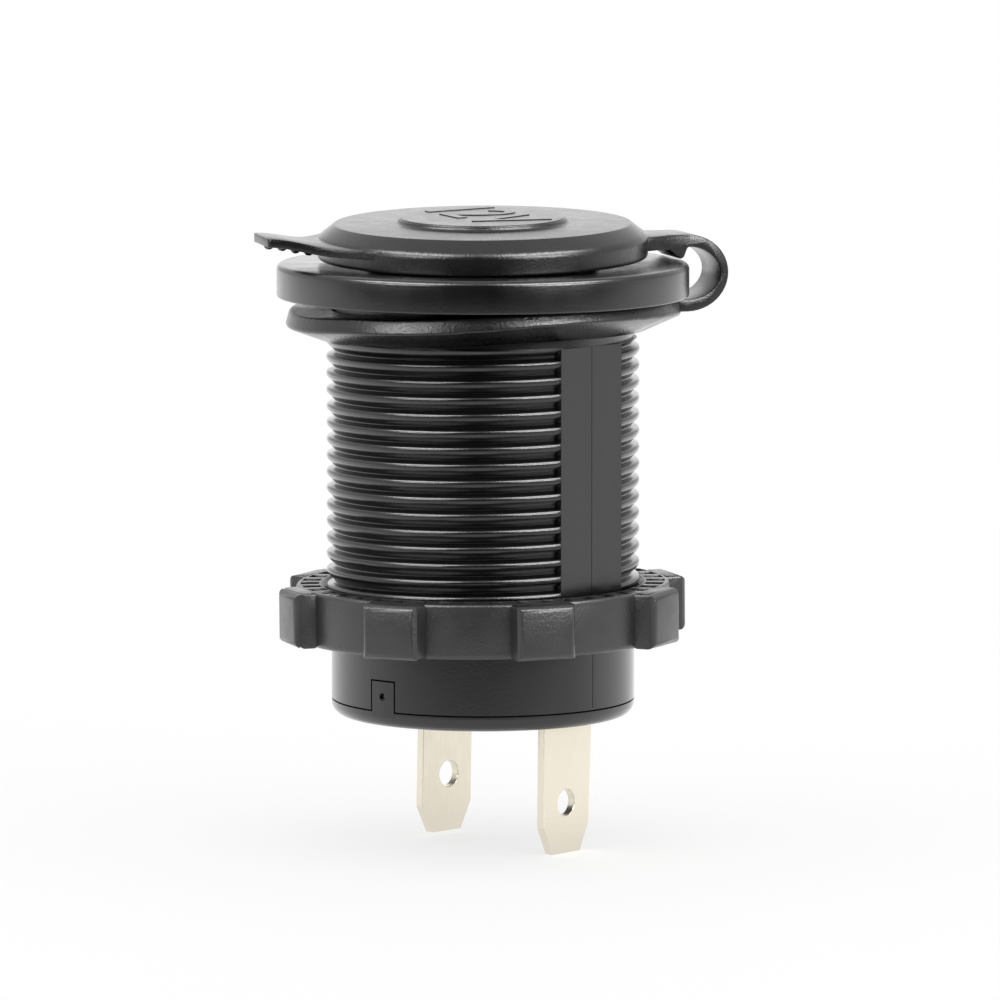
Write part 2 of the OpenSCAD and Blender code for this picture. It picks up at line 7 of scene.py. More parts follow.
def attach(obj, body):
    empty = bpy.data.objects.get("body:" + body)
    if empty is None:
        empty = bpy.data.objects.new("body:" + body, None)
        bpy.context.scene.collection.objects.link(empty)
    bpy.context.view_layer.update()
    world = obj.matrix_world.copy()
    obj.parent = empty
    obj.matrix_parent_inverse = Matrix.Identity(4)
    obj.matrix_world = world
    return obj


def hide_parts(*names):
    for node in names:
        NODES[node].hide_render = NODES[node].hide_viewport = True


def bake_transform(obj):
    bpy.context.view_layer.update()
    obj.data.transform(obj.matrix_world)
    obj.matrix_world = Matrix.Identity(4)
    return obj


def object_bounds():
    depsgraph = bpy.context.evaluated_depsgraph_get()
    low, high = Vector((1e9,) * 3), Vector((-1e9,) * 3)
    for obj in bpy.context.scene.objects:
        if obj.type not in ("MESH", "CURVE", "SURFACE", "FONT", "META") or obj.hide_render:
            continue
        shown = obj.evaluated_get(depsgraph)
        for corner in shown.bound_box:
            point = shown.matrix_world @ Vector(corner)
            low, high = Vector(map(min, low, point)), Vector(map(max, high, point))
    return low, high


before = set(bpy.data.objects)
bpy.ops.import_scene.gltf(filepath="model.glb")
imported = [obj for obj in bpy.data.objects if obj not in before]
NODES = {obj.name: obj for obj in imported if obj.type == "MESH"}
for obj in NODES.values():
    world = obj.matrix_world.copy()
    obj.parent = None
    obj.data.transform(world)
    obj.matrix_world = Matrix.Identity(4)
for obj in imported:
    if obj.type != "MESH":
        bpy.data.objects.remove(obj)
cad_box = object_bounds()

bl_info = {
    "name": "Panel-mount 12 V socket",
    "version": (1, 0, 0),
    "blender": (4, 5, 0),
    "location": "3D View > Sidebar > Socket",
    "description": "Builds the visible pieces, finishes and stage of a 12 V panel socket",
    "category": "Object",
}

MM = 0.001

# Bearings about the barrel's axis, in degrees from +X.
VIEW_AT = 44.5
STRAP_AT = 61.5
TAB_AT = STRAP_AT + 180
TONGUES_AT = (-86.5, 93.5)
LOBE_AT = 17.6
RIB_AT = 4.5

# The soft ring has taken a wavy set: bearing in degrees and rise in millimetres.
RING_SET = ((-115, -0.3), (-70, -0.05), (-45, 0.12), (-22, 0.18), (0, 0.06), (44, -0.12))
# Its lower edge thins towards this bearing, in steps that reach so many degrees to each side.
RING_THIN_AT = -8
RING_THIN_REACH = (44, 34, 24, 14)

# Each blade's place and tip, and how it departs from the CAD terminal, in millimetres and degrees.
BLADES = (
    {"node": "positive_terminal", "x": -4.8, "tip": -49.55, "hole": 0.25, "wide": 0.5, "twist": 0.0,
     "lean": -0.3, "shift": 0.0},
    {"node": "negative_terminal", "x": 10.5, "tip": -49.95, "hole": -0.4, "wide": 0.6, "twist": 4.0,
     "lean": 0.0, "shift": -0.4},
)

# Each lamp's name, its place towards the camera, to the right and up, its width and height, all in
# metres, and its radiance. The strips only put lines on edges.
LAMPS = (
    ("top_soft", 0, 0, 0.5, 0.5, 0.5, 1.0),
    ("back_soft", -0.6, 0.0, 0.16, 0.36, 0.4, 0.65),
    ("left_strip", 0.19, -0.27, 0.34, 0.42, 0.16, 14.0),
    ("right_strip", 0.22, 0.24, 0.34, 0.42, 0.16, 17.0),
    ("left_low_strip", 0.33, -0.36, 0.15, 0.3, 0.08, 15.0),
    ("right_low_strip", 0.35, 0.33, 0.15, 0.3, 0.08, 28.0),
)


def linear(code):
    """Linear RGBA of an sRGB hex colour."""
    parts = [int(code[i:i + 2], 16) / 255 for i in (1, 3, 5)]
    return tuple(c / 12.92 if c <= 0.04045 else ((c + 0.055) / 1.055) ** 2.4 for c in parts) + (1.0,)


def length(name, default, text):
    """A size in metres that the user can change."""
    return bpy.props.FloatProperty(
        name=name, default=default, unit="LENGTH", precision=5, description=text)


def colour(name, code, text):
    """A colour that the user can change."""
    return bpy.props.FloatVectorProperty(
        name=name, default=linear(code), size=4, min=0, max=1, subtype="COLOR", description=text)


class SocketSizes(bpy.types.PropertyGroup):
    flange_radius: length("Flange radius", 18.75 * MM, "Radius of the flange")
    flange_height: length("Flange height", 3.0 * MM, "Height of the flange")
    mouth_radius: length("Mouth radius", 10.75 * MM, "Radius of the plastic mouth above the sleeve")
    sleeve_bore: length("Sleeve bore", 11.15 * MM, "Radius of the bore that holds the sleeve")
    cavity_radius: length("Cavity radius", 12.0 * MM, "Radius of the hollow behind the sleeve")
    thread_radius: length("Thread radius", 14.25 * MM, "Radius over the thread's crests")
    root_radius: length("Root radius", 13.55 * MM, "Radius at the thread's roots")
    neck_radius: length("Neck radius", 13.65 * MM, "Radius of the plain neck")
    thread_pitch: length("Thread pitch", 1.5 * MM, "Rise of the thread in one turn")
    neck_length: length("Neck length", 3.7 * MM, "Plain length between flange and thread")
    thread_end: length("Thread end", 31.0 * MM, "Depth of the thread's lower end")
    barrel_length: length("Barrel length", 36.75 * MM, "Depth of the barrel's end")
    tail_radius: length("Tail radius", 13.8 * MM, "Radius of the smooth tail")
    flat_distance: length("Flat distance", 13.7 * MM, "Distance of the flats from the axis")
    nut_radius: length("Nut radius", 17.0 * MM, "Radius of the nut between its lobes")
    lobe_radius: length("Lobe radius", 18.75 * MM, "Distance of the lobes' outer faces from the axis")
    lobe_width: length("Lobe width", 5.6 * MM, "Width of a lobe")
    nut_top: length("Nut top", -26.15 * MM, "Height of the nut's top face")
    nut_height: length("Nut height", 5.05 * MM, "Height of the nut")
    cap_radius: length("Cap radius", 15.0 * MM, "Radius of the dust cap")
    tab_reach: length("Tab reach", 20.9 * MM, "Distance of the pull tab's end from the axis")
    tab_width: length("Tab width", 4.8 * MM, "Width of the pull tab")
    strap_width: length("Strap width", 5.6 * MM, "Width of the strap")
    strap_reach: length("Strap reach", 22.6 * MM, "Distance of the strap's bend from the axis")
    ring_radius: length("Ring radius", 17.95 * MM, "Radius of the retaining ring")
    letter_height: length("Letter height", 7.0 * MM, "Height of the voltage marking on the cap")


class SocketColours(bpy.types.PropertyGroup):
    nylon: colour("Nylon", "#0b0b0c", "Black glass-filled nylon of the housing")
    nut: colour("Nut", "#2a2a2b", "Black nylon of the ring nut")
    rubber: colour("Rubber", "#0d0d0e", "Black rubber of cap, strap and ring")
    tin: colour("Tin plate", "#ccc5b6", "Tin-plated brass of the blades")
    nickel: colour("Nickel plate", "#c9c5bc", "Nickel-plated steel of the sleeve")
    brass: colour("Brass", "#c8a35c", "Turned brass of the centre contact")
    fibre: colour("Fibre", "#a8906a", "Phenolic fibre of the insulators")


class SocketStage(bpy.types.PropertyGroup):
    floor: colour("Floor", "#f4f4f3", "Colour of the floor")
    azimuth: bpy.props.FloatProperty(
        name="Azimuth", default=math.radians(VIEW_AT), subtype="ANGLE",
        description="Camera's turn about the axis")
    elevation: bpy.props.FloatProperty(
        name="Elevation", default=math.radians(6.65), subtype="ANGLE",
        description="Camera's height above level")
    distance: length("Distance", 0.85, "Distance from the camera to its aim")
    lens: bpy.props.FloatProperty(
        name="Lens", default=336.0, min=20, description="Focal length in millimetres")
    aim_right: length("Aim right", 1.55 * MM, "How far the aim lies right of the axis")
    aim_height: length("Aim height", -18.7 * MM, "Height of the aim")


def add_node(tree, kind, settings=None, links=None):
    """Adds one node, with its settings and its incoming links."""
    node = tree.nodes.new(kind)
    for key, value in (settings or {}).items():
        if isinstance(key, str) and hasattr(node, key):
            setattr(node, key, value)
        else:
            node.inputs[key].default_value = value
    for key, source in (links or {}).items():
        tree.links.new(source, node.inputs[key])
    return node


def surface(name, base, roughness, metallic=0.0, ior=1.5):
    """A material with its shader and a texture coordinate node."""
    material = bpy.data.materials.new(name)
    material.use_nodes = True
    tree = material.node_tree
    shader = tree.nodes["Principled BSDF"]
    shader.inputs["Base Color"].default_value = base
    shader.inputs["Roughness"].default_value = roughness
    shader.inputs["Metallic"].default_value = metallic
    shader.inputs["IOR"].default_value = ior
    place = add_node(tree, "ShaderNodeTexCoord").outputs["Object"]
    return material, tree, shader, place


def vary(tree, place, size, low, high, detail=3.0, stretch=(1, 1, 1)):
    """Noise of a given grain size in metres, spread between two values."""
    mapped = add_node(tree, "ShaderNodeMapping", {"Scale": stretch}, {"Vector": place}).outputs["Vector"]
    noise = add_node(tree, "ShaderNodeTexNoise", {"Scale": 1 / size, "Detail": detail}, {"Vector": mapped})
    return add_node(
        tree, "ShaderNodeMapRange", {"From Min": 0.3, "From Max": 0.7, "To Min": low, "To Max": high},
        {"Value": noise.outputs["Fac"]}).outputs["Result"]


def bump(tree, shader, height, depth):
    """Raises the surface by a height pattern, depth metres high."""
    node = add_node(tree, "ShaderNodeBump", {"Strength": 1.0, "Distance": depth}, {"Height": height})
    tree.links.new(node.outputs["Normal"], shader.inputs["Normal"])


def finish(names, material):
    """Gives a material to CAD nodes or new pieces."""
    for item in names:
        piece = NODES[item] if isinstance(item, str) else item
        piece.data.materials.clear()
        piece.data.materials.append(material)


def moulded_nylon(colours):
    # Glass-filled nylon, injection moulded: spark-eroded grain, full on the flange and half on the barrel.
    material, tree, shader, place = surface("Glass_filled_nylon_moulded", colours.nylon, 0.24, ior=1.53)
    height = add_node(tree, "ShaderNodeSeparateXYZ", None, {"Vector": place}).outputs["Z"]
    flange = add_node(
        tree, "ShaderNodeMapRange", {"From Min": -0.3 * MM, "From Max": 0.0, "To Min": 0.5, "To Max": 1.0},
        {"Value": height}).outputs["Result"]
    grain = vary(tree, place, 0.22 * MM, 0.0, 1.0, detail=2.0)
    deep = add_node(tree, "ShaderNodeMath", {"operation": "MULTIPLY"}, {0: grain, 1: flange}).outputs["Value"]
    bump(tree, shader, deep, 0.007 * MM)
    rough = vary(tree, place, 3.0 * MM, 0.19, 0.25, stretch=(1, 1, 0.4))
    raised = add_node(tree, "ShaderNodeMath", {"operation": "MULTIPLY_ADD", 1: 0.03}, {0: flange, 2: rough})
    tree.links.new(raised.outputs["Value"], shader.inputs["Roughness"])
    return material


def nut_nylon(colours):
    # Nylon, injection moulded in a sand-blasted tool: even semi-matte black.
    material, tree, shader, place = surface("Nylon_semi_matte", colours.nut, 0.42, ior=1.53)
    bump(tree, shader, vary(tree, place, 0.25 * MM, 0.0, 1.0, detail=2.0), 0.012 * MM)
    tree.links.new(vary(tree, place, 2.5 * MM, 0.3, 0.4), shader.inputs["Roughness"])
    return material


def cap_rubber(colours):
    # Thermoplastic rubber, moulded with a fine grain: satin with small glints.
    material, tree, shader, place = surface("Thermoplastic_rubber", colours.rubber, 0.3, ior=1.5)
    bump(tree, shader, vary(tree, place, 0.2 * MM, 0.0, 1.0, detail=2.0), 0.01 * MM)
    tree.links.new(vary(tree, place, 1.8 * MM, 0.26, 0.31), shader.inputs["Roughness"])
    return material


def ring_rubber(colours):
    # The same rubber with a slightly coarser grain, which glints along the ring's edge.
    material, tree, shader, place = surface("Thermoplastic_rubber_matt", colours.rubber, 0.36, ior=1.5)
    bump(tree, shader, vary(tree, place, 0.25 * MM, 0.0, 1.0, detail=2.0), 0.013 * MM)
    tree.links.new(vary(tree, place, 1.8 * MM, 0.24, 0.34), shader.inputs["Roughness"])
    return material


def plated_sheet(name, base, roughness, grain=(1, 1, 0.08)):
    # Stamped sheet with a thin bright plating: faint rolling lines and dull patches.
    material, tree, shader, place = surface(name, base, roughness, metallic=1.0)
    lines = vary(tree, place, 0.12 * MM, roughness - 0.04, roughness + 0.07, stretch=grain)
    tree.links.new(lines, shader.inputs["Roughness"])
    bump(tree, shader, vary(tree, place, 0.9 * MM, 0.0, 1.0), 0.003 * MM)
    return material


def draw_line(name, points):
    """A new piece of one vertex, extruded from point to point in the XZ plane, left in edit mode."""
    bpy.ops.object.select_all(action="DESELECT")
    bpy.ops.mesh.primitive_plane_add(size=MM, location=(0, 0, 0))
    piece = bpy.context.object
    piece.name = name
    bpy.ops.object.mode_set(mode="EDIT")
    bpy.ops.mesh.merge(type="CENTER")
    bpy.ops.transform.translate(value=(points[0][0], 0, points[0][1]))
    for (x0, z0), (x1, z1) in zip(points, points[1:]):
        bpy.ops.mesh.extrude_region_move(TRANSFORM_OT_translate={"value": (x1 - x0, 0, z1 - z0)})
    bpy.ops.mesh.select_all(action="SELECT")
    return piece


def close(piece):
    """Merges double points, turns the faces outward and leaves edit mode."""
    bpy.ops.mesh.select_all(action="SELECT")
    bpy.ops.mesh.remove_doubles(threshold=1e-6)
    bpy.ops.mesh.normals_make_consistent(inside=False)
    bpy.ops.object.mode_set(mode="OBJECT")
    return piece


def turned(name, points, steps=128):
    """A closed body of revolution about the Z axis."""
    piece = draw_line(name, points)
    bpy.ops.mesh.spin(steps=steps, angle=math.tau, center=(0, 0, 0), axis=(0, 0, 1))
    return close(piece)


def prism(name, points, depth, upright=True):
    """A closed outline given depth: along Y about the middle, or from the floor up when laid flat."""
    piece = draw_line(name, points + [points[0]])
    bpy.ops.mesh.remove_doubles(threshold=1e-6)
    bpy.ops.mesh.edge_face_add()
    start = depth / 2 if upright else 0
    bpy.ops.transform.translate(value=(0, start, 0))
    bpy.ops.mesh.extrude_region_move(TRANSFORM_OT_translate={"value": (0, -depth, 0)})
    close(piece)
    if not upright:
        place(piece, Matrix.Rotation(math.radians(-90), 4, "X"))
    return piece


def arc(cx, cz, rx, start, end, steps=6, rz=None):
    """Points of an arc in the XZ plane, angles in degrees."""
    angles = [math.radians(start + (end - start) * i / steps) for i in range(steps + 1)]
    return [(cx + rx * math.cos(a), cz + (rz or rx) * math.sin(a)) for a in angles]


def in_mm(points):
    """Points given in millimetres, in metres."""
    return [(x * MM, z * MM) for x, z in points]


def activate(piece):
    """Makes a piece the only one selected."""
    bpy.ops.object.select_all(action="DESELECT")
    piece.select_set(True)
    bpy.context.view_layer.objects.active = piece


def place(piece, matrix):
    """Moves a piece's mesh, with its origin left at the world's."""
    piece.matrix_world = matrix @ piece.matrix_world
    activate(piece)
    bpy.ops.object.transform_apply(location=True, rotation=True, scale=True)


def turn(degrees):
    """A turn about the Z axis."""
    return Matrix.Rotation(math.radians(degrees), 4, "Z")


def tilt(high, degrees):
    """A tilt that lifts one side."""
    return turn(high) @ Matrix.Rotation(math.radians(-degrees), 4, "Y") @ turn(-high)


def pull(piece, test, offset, reach, stretch=None):
    """Moves or stretches the points that pass a test, and softly those within reach of them."""
    activate(piece)
    for item in list(piece.data.edges) + list(piece.data.polygons):
        item.select = False
    for vertex in piece.data.vertices:
        vertex.select = test(vertex.co)
    bpy.ops.object.mode_set(mode="EDIT")
    soft = {"use_proportional_edit": True, "proportional_size": reach, "proportional_edit_falloff": "SMOOTH"}
    if stretch:
        bpy.ops.transform.resize(value=stretch, center_override=offset, **soft)
    else:
        bpy.ops.transform.translate(value=offset, **soft)
    bpy.ops.object.mode_set(mode="OBJECT")


def modify(piece, kind, **settings):
    """Adds a modifier, sets it and applies it."""
    activate(piece)
    modifier = piece.modifiers.new(kind.title(), kind)
    for key, value in settings.items():
        setattr(modifier, key, value)
    bpy.ops.object.modifier_apply(modifier=modifier.name)
    return piece


def soften(piece, width, angle=40, segments=2):
    """Rounds the edges sharper than an angle."""
    return modify(piece, "BEVEL", width=width, segments=segments, limit_method="ANGLE",
                  angle_limit=math.radians(angle), harden_normals=False)


def smooth(piece, angle=35):
    """Smooth shading that keeps the edges sharper than an angle."""
    activate(piece)
    bpy.ops.object.shade_smooth_by_angle(angle=math.radians(angle))


def join(pieces, name):
    """One piece of several, at the origin."""
    activate(pieces[0])
    for piece in pieces:
        piece.select_set(True)
    bpy.ops.object.join()
    pieces[0].name = name
    return pieces[0]


def combine(piece, tool, operation="DIFFERENCE"):
    """Cuts a piece with a tool, or keeps what they share, and deletes the tool."""
    modify(piece, "BOOLEAN", operation=operation, solver="EXACT", object=tool)
    bpy.data.objects.remove(tool)
    return piece


def block(name, low, high):
    """A box between two corners."""
    bpy.ops.object.select_all(action="DESELECT")
    bpy.ops.mesh.primitive_cube_add(size=1, location=[(a + b) / 2 for a, b in zip(low, high)])
    box = bpy.context.object
    box.name = name
    box.scale = [b - a for a, b in zip(low, high)]
    bpy.ops.object.transform_apply(location=True, rotation=True, scale=True)
    return box


def copies(piece, degrees):
    """Copies of a piece, each with its own mesh, turned about the axis."""
    made = []
    for angle in degrees:
        twin = piece.copy()
        twin.data = piece.data.copy()
        bpy.context.scene.collection.objects.link(twin)
        place(twin, turn(angle))
        made.append(twin)
    return made


def dress(piece, material, slot, body, *nodes, angle=32):
    """Shades a finished piece and ties it to its body and CAD nodes; the slot is not used."""
    smooth(piece, angle)
    finish([piece], material)
    if body:
        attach(piece, body)
    for node in nodes:
        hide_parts(node)


class SOCKET_OT_housing(bpy.types.Operator):
    """Flange, neck, helical thread with two flats and smooth tail"""
    bl_idname = "socket.housing"
    bl_label = "Housing"

    def execute(self, context):
        s = context.scene.socket_sizes
        edge = 0.5 * MM
        low_edge = 0.2 * MM
        lead = 0.6 * MM
        lip = -2.4 * MM
        seat = -32.3 * MM
        wall = s.root_radius - 0.45 * MM
        body = turned("housing_body", (
            arc(s.flange_radius - edge, s.flange_height - edge, edge, 90, 0)
            + arc(s.flange_radius - low_edge, low_edge, low_edge, 0, -90, 3)
            + [(s.neck_radius, 0), (s.neck_radius, -s.neck_length), (wall, -s.neck_length),
               (wall, -s.thread_end), (s.tail_radius - 0.15 * MM, -s.thread_end),
               (s.tail_radius, -s.thread_end - 0.15 * MM), (s.tail_radius, -s.barrel_length + 0.1 * MM),
               (s.tail_radius - 0.1 * MM, -s.barrel_length),
               (s.cavity_radius, -s.barrel_length), (s.cavity_radius, seat),
               (s.sleeve_bore, seat), (s.sleeve_bore, lip), (s.mouth_radius, lip)]
            + arc(s.mouth_radius + lead, s.flange_height - lead, lead, 180, 90)
            + [(s.flange_radius - edge, s.flange_height)]))
        for bearing in TONGUES_AT:
            tool = block("notch", (11.5 * MM, -1.45 * MM, -38 * MM), (15 * MM, 1.45 * MM, -33.85 * MM))
            place(tool, turn(bearing))
            combine(body, tool)
        half = math.sqrt(s.thread_radius ** 2 - s.flat_distance ** 2) - 0.02 * MM
        pad = block("flat", (wall, -half, -s.thread_end),
                    (s.flat_distance + 0.01 * MM, half, -s.neck_length))
        seam = block("seam", (wall, 0.05 * MM, -s.barrel_length + 0.3 * MM),
                     (s.flat_distance + 0.04 * MM, 0.6 * MM, -s.neck_length))
        low_seam = block("seam", (wall, 0.1 * MM, -s.barrel_length + 0.3 * MM),
                         (s.tail_radius + 0.03 * MM, 0.5 * MM, -s.thread_end))
        flats = copies(join([pad, seam, low_seam], "flat"), (180,))
        housing = join([body, self.thread(s), pad] + flats, "housing_moulding")
        dress(housing, moulded_nylon(context.scene.socket_colours), "moulded_plastic", "socket", "housing")
        return {"FINISHED"}

    def thread(self, s):
        """A plug with a right-hand thread, cut off at both ends and at the flats, then bored."""
        pitch = s.thread_pitch
        low = -4.935 * MM - 18.58 * pitch
        depth = s.thread_radius - s.root_radius
        # One turn's section: share of the depth, share of the pitch.
        form = [(0, 0), (0.14, 0.07), (0.45, 0.2), (0.78, 0.35), (0.94, 0.46), (1, 0.58),
                (0.96, 0.69), (0.82, 0.78), (0.45, 0.85), (0.1, 0.9), (0, 0.95), (0, 1)]
        plug = draw_line("thread", [(s.root_radius + depth * x, low + pitch * z) for x, z in form])
        bpy.ops.object.mode_set(mode="OBJECT")
        modify(plug, "SCREW", axis="Z", angle=math.tau, screw_offset=pitch, iterations=20, steps=96)
        bpy.ops.object.mode_set(mode="EDIT")
        bpy.ops.mesh.select_all(action="SELECT")
        bpy.ops.mesh.remove_doubles(threshold=1e-6)
        planes = [((0, 0, -s.neck_length), (0, 0, 1)), ((0, 0, -s.thread_end), (0, 0, -1)),
                  ((s.flat_distance, 0, 0), (1, 0, 0)), ((-s.flat_distance, 0, 0), (-1, 0, 0))]
        for point, normal in planes:
            bpy.ops.mesh.select_all(action="SELECT")
            bpy.ops.mesh.bisect(plane_co=point, plane_no=normal, use_fill=True, clear_outer=True,
                                threshold=1e-7)
        bpy.ops.mesh.select_all(action="SELECT")
        bpy.ops.mesh.normals_make_consistent(inside=False)
        bpy.ops.object.mode_set(mode="OBJECT")
        bpy.ops.object.select_all(action="DESELECT")
        bpy.ops.mesh.primitive_cylinder_add(
            vertices=96, radius=s.root_radius - 0.8 * MM, depth=0.06, location=(0, 0, -0.02))
        return combine(plug, bpy.context.object)


class SOCKET_OT_plastics(bpy.types.Operator):
    """Ring nut with eight lobes and ribs, and the base cap's finish"""
    bl_idname = "socket.plastics"
    bl_label = "Nut and base cap"

    def execute(self, context):
        s = context.scene.socket_sizes
        nylon = nut_nylon(context.scene.socket_colours)
        finish(["base_cap"], moulded_nylon(context.scene.socket_colours))
        top = s.nut_top
        bottom = top - s.nut_height
        bore = s.thread_radius + 0.05 * MM
        lead = 0.5 * MM
        upper = 0.3 * MM
        lower = 0.5 * MM
        sink = 0.05 * MM
        inner, outer = bore + 0.6 * MM, s.nut_radius - 0.4 * MM
        depth = 0.35 * MM
        ring = turned("ring_nut_moulding", (
            [(bore, top - lead), (bore + lead, top), (inner, top), (inner, top - depth),
             (outer, top - depth), (outer, top)]
            + arc(s.nut_radius - upper, top - upper, upper, 80, 0, 4)
            + arc(s.nut_radius - lower, bottom + lower, lower, 0, -90)
            + [(bore + lead, bottom), (bore, bottom + lead), (bore, top - lead)]))
        outline = [(outer + sink, bottom), (s.lobe_radius, bottom), (s.lobe_radius, top), (outer + sink, top)]
        lobe = prism("lobe", outline, s.lobe_width)
        self.round_lobe(lobe, s, bottom)
        place(lobe, turn(LOBE_AT))
        lobes = copies(lobe, [45 * i for i in range(1, 8)])
        rib = block("rib", (inner - sink, -0.5 * MM, top - depth - sink),
                    (outer + sink, 0.5 * MM, top - 0.01 * MM))
        soften(rib, 0.08 * MM)
        place(rib, turn(RIB_AT))
        ribs = copies(rib, [9 * i for i in range(1, 40)])
        nut = join([ring, lobe, rib] + lobes + ribs, "ring_nut_moulding")
        # The nut sits a little askew on its thread.
        middle = Matrix.Translation((0, 0, (top + bottom) / 2))
        place(nut, middle @ tilt(VIEW_AT, 0.5) @ middle.inverted())
        dress(nut, nylon, "nut_plastic", "nut", "ring_nut")
        return {"FINISHED"}

    def round_lobe(self, lobe, s, bottom):
        """Rounds a lobe's upright corners, then its lower and upper edges."""
        bpy.ops.object.mode_set(mode="OBJECT")
        reach, hair = s.nut_radius, 1e-6
        limits = (
            (0.7 * MM, lambda a, b: abs(a.z - b.z) > MM and a.x > reach, 4),
            (1.1 * MM, lambda a, b: max(a.z, b.z) < bottom + hair and max(a.x, b.x) > reach, 4),
            (0.35 * MM, lambda a, b: min(a.z, b.z) > s.nut_top - hair and max(a.x, b.x) > reach, 3))
        for width, test, segments in limits:
            activate(lobe)
            points = lobe.data.vertices
            for item in list(points) + list(lobe.data.polygons):
                item.select = False
            for line in lobe.data.edges:
                line.select = test(*(points[i].co for i in line.vertices))
            bpy.ops.object.mode_set(mode="EDIT")
            bpy.ops.mesh.select_mode(type="EDGE")
            bpy.ops.mesh.bevel(offset=width, segments=segments, affect="EDGES", clamp_overlap=True)
            bpy.ops.mesh.select_mode(type="VERT")
            bpy.ops.object.mode_set(mode="OBJECT")


class SOCKET_OT_rubber(bpy.types.Operator):
    """Dust cap with plug, pull tab, studs and voltage marking"""
    bl_idname = "socket.rubber"
    bl_label = "Dust cap"

    def execute(self, context):
        s = context.scene.socket_sizes
        rubber = cap_rubber(context.scene.socket_colours)
        radius = s.cap_radius / MM
        body = turned("dust_cap_moulding", in_mm(
            [(0, 6.8), (7.35, 6.8)] + arc(7.4, 6.65, 0.15, 90, 10, 3) + arc(8.05, 6.72, 0.42, 190, 270, 6)
            + arc(13.4, 5.98, 0.25, 90, 52, 3) + arc(14.1, 4.6, 0.9, 52, 0, 8)
            + [(radius, 3.5)] + arc(radius - 0.3, 3.4, 0.3, 0, -90, 4)
            + [(10.5, 3.1), (10.2, -0.1), (9.8, -0.5), (8.9, -0.5), (8.7, -0.3), (8.7, 3.4), (0, 3.4)]))
        studs = []
        for i in range(4):
            x = s.tab_reach - (0.75 + 1.25 * i) * MM
            top = self.rise(s, x)
            bpy.ops.object.select_all(action="DESELECT")
            bpy.ops.mesh.primitive_uv_sphere_add(
                segments=24, ring_count=12, radius=0.5 * MM, location=(x, 0, top - 0.75 * MM))
            studs.append(bpy.context.object)
            bpy.ops.object.transform_apply(location=True)
            # The upper half is drawn up into the tab.
            pull(studs[-1], lambda v: v.z > top - 0.74 * MM, (0, 0, 0.15 * MM), 0.05 * MM)
        tab = join([self.tab(s)] + studs, "tab")
        place(tab, turn(TAB_AT))
        letters = self.letters(s)
        cap = join([body, tab, letters], "dust_cap_moulding")
        # The cap sits askew: it rests on the flange at its low side.
        askew = 1.85
        lift = Matrix.Translation((0, 0, s.cap_radius * math.sin(math.radians(askew)) - 0.05 * MM))
        place(cap, lift @ tilt(126.5, askew))
        dress(cap, rubber, "cap_rubber", "cap", "dust_cap")
        return {"FINISHED"}

    def rise(self, s, x):
        """Height of the pull tab's top face at a distance from the axis."""
        t = max(0, (x - s.cap_radius) / (s.tab_reach - s.cap_radius))
        return 5 * MM + 0.85 * MM * (3 * t * t - 2 * t ** 3)

    def tab(self, s):
        """Pull tab, blended into the cap's edge and turned up at its end."""
        half = s.tab_width / 2
        blend = 12 * MM
        corner = 0.5 * MM
        far = s.cap_radius + blend
        centre = math.sqrt(far ** 2 - (half + blend) ** 2)
        start = s.cap_radius * 0.75
        xs = [start + (s.tab_reach - corner - start) * i / 14 for i in range(15)]
        side = [(x, half + blend - math.sqrt(max(0, blend ** 2 - (x - centre) ** 2))) for x in xs]
        side = [(x, min(y, 8.6 * MM)) for x, y in side]
        side += arc(s.tab_reach - corner, side[-1][1] - corner, corner, 80, 0, 4)
        plan = prism("tab", side + [(x, -y) for x, y in reversed(side)], 10 * MM, upright=False)
        steps = [s.cap_radius * 0.7] + [s.cap_radius + 0.7 * MM * i for i in range(10)]
        upper = [(x, self.rise(s, x)) for x in steps]
        lower = [(x, z - 0.8 * MM) for x, z in reversed(upper)]
        sheet = combine(prism("sheet", upper + lower, 20 * MM), plan, "INTERSECT")
        return soften(sheet, 0.12 * MM)

    def letters(self, s):
        """Raised voltage marking in the middle of the cap."""
        bpy.ops.object.select_all(action="DESELECT")
        bpy.ops.object.text_add(location=(0, 0, 0))
        letters = bpy.context.object
        letters.data.body = "12V"
        letters.data.size = s.letter_height / 0.7
        letters.data.align_x = "CENTER"
        letters.data.align_y = "CENTER"
        letters.data.extrude = 0.08 * MM
        letters.data.resolution_u = 4
        bpy.ops.object.convert(target="MESH")
        letters = bpy.context.object
        bpy.ops.object.mode_set(mode="EDIT")
        close(letters)
        narrow = Matrix.Scale(0.82, 4, (1, 0, 0))
        place(letters, Matrix.Translation((-1.0 * MM, 0.65 * MM, 6.8 * MM)) @ turn(-16.5) @ narrow)
        return letters


